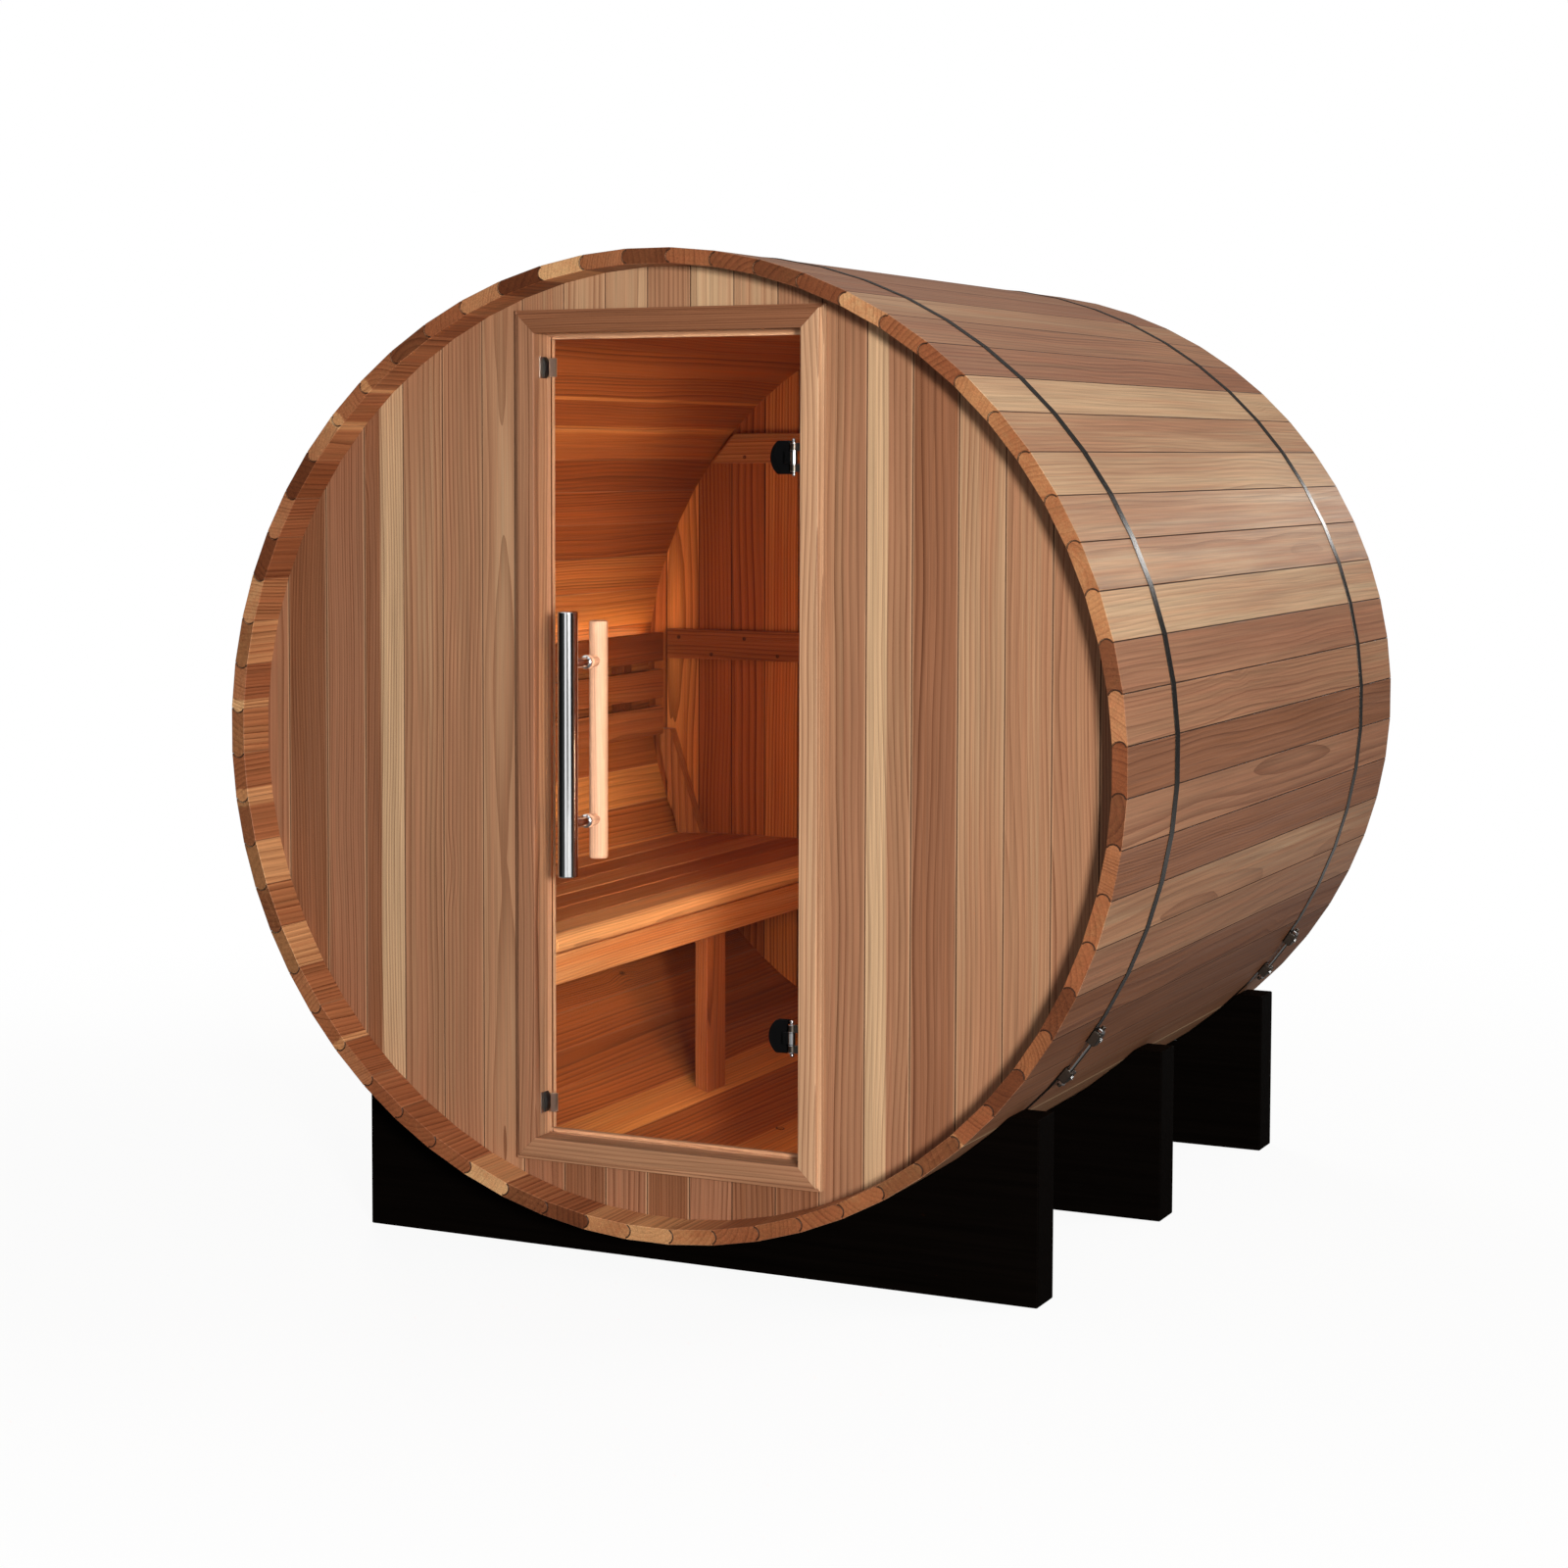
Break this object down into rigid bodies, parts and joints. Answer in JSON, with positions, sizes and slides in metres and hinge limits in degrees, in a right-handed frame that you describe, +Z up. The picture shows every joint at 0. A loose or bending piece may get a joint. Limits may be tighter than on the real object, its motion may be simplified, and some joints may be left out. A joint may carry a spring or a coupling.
{
  "type": "barrel sauna",
  "caption": "Round cedar barrel cabin on black cradles, with beaded staves, steel bands, recessed board walls, a hinged glass door with a bar handle, and a bench with a backrest inside.",
  "frame": {"origin": "on the ground under the middle of the barrel", "axes": "+Z up, +Y along the barrel from the door to the rear wall, +X to the right as seen from the door side"},
  "size_m": [1.8006, 1.83, 1.8773],
  "materials": {
    "cedar_staves": "planed cedar, oiled",
    "cedar_walls": "planed cedar boards, oiled",
    "cedar_trim": "planed cedar, eased edges",
    "cedar_interior": "bare planed cedar",
    "black_timber": "black stain",
    "band_steel": "stainless strip",
    "bright_metal": "polished",
    "black_metal": "satin black",
    "bumper_rubber": "smooth",
    "door_glass": "clear, polished edges",
    "lamp_cover": "diffusing"
  },
  "bodies": {
    "cabin_body": {"cradle_front": "black_timber", "cradle_middle": "black_timber", "cradle_rear": "black_timber", "staves_top": "cedar_staves", "staves_top_left": "cedar_staves", "staves_left": "cedar_staves", "staves_bottom_left": "cedar_staves", "staves_bottom": "cedar_staves", "staves_bottom_right": "cedar_staves", "staves_right": "cedar_staves", "staves_top_right": "cedar_staves", "band_front": "band_steel", "band_rear": "band_steel", "tensioner_front": "bright_metal", "tensioner_rear": "bright_metal", "front_wall_left": "cedar_walls", "front_wall_right": "cedar_walls", "front_wall_header": "cedar_walls", "front_wall_sill": "cedar_walls", "rear_wall": "cedar_walls", "door_jambs": "cedar_trim", "door_trim": "cedar_trim", "hinge_leaves": "bright_metal", "hinge_pins": "bright_metal", "catch_plates": "band_steel", "catch_bumpers": "bumper_rubber", "bench_planks": "cedar_interior", "bench_apron": "cedar_interior", "bench_bearers": "cedar_interior", "bench_leg": "cedar_interior", "backrest_slats": "cedar_interior", "backrest_brackets": "cedar_interior", "light_bar": "lamp_cover", "rear_battens": "cedar_interior"},
    "door": {"door_glass": "door_glass", "hinge_clamps": "black_metal", "hinge_backplates": "black_metal", "strike_clips": "bright_metal", "handle_tube": "bright_metal", "handle_caps": "bright_metal", "handle_posts": "bright_metal", "handle_pegs": "cedar_interior", "handle_bar": "cedar_interior"}
  },
  "joints": [
    {"name": "door_hinge", "type": "hinge", "parent": "cabin_body", "child": "door", "pos_m": [0.24795, -0.828, 0.981], "axis": [0, 0, 1], "range_deg": [0, 105]}
  ]
}
